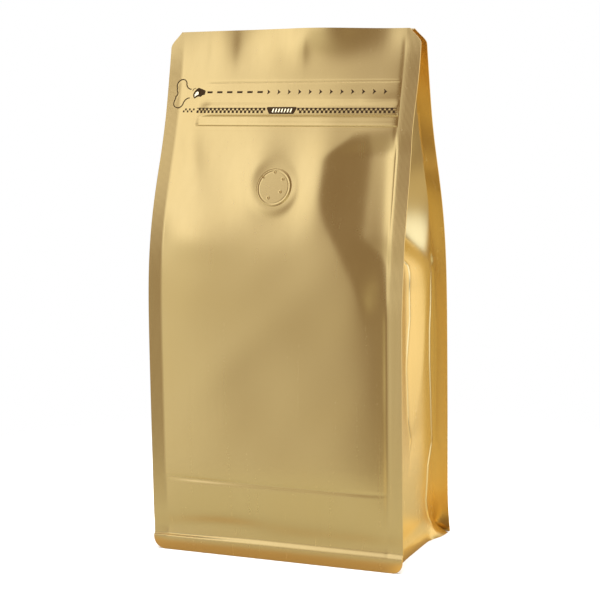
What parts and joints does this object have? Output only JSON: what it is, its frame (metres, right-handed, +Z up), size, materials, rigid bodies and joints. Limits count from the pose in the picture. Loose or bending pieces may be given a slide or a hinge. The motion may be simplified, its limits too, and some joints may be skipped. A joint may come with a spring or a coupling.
{
  "type": "flat bottom coffee bag",
  "caption": "Filled flat-bottom coffee bag in satin gold foil, with upright side seals, folded-in sides, a round degassing valve, a zip track and a tear strip with a pull tab",
  "frame": {"origin": "middle of the base, on the surface that the bag stands on", "axes": "+Z up along the bag's height; +Y from the front panel, which carries the valve, to the back; +X across the bag, to the right as seen from the front"},
  "size_m": [0.135, 0.0808, 0.2645],
  "materials": {
    "film": "satin gold foil laminate, softly creased",
    "zip": "satin gold foil pressed over the zip's ribs",
    "tear_strip": "satin gold foil, finely ribbed, with dark printed marks",
    "valve": "satin gold foil pressed over a round valve"
  },
  "bodies": {
    "root": {"pouch": "film", "zip_track": "zip", "tear_strip": "tear_strip", "valve": "valve"}
  },
  "joints": []
}
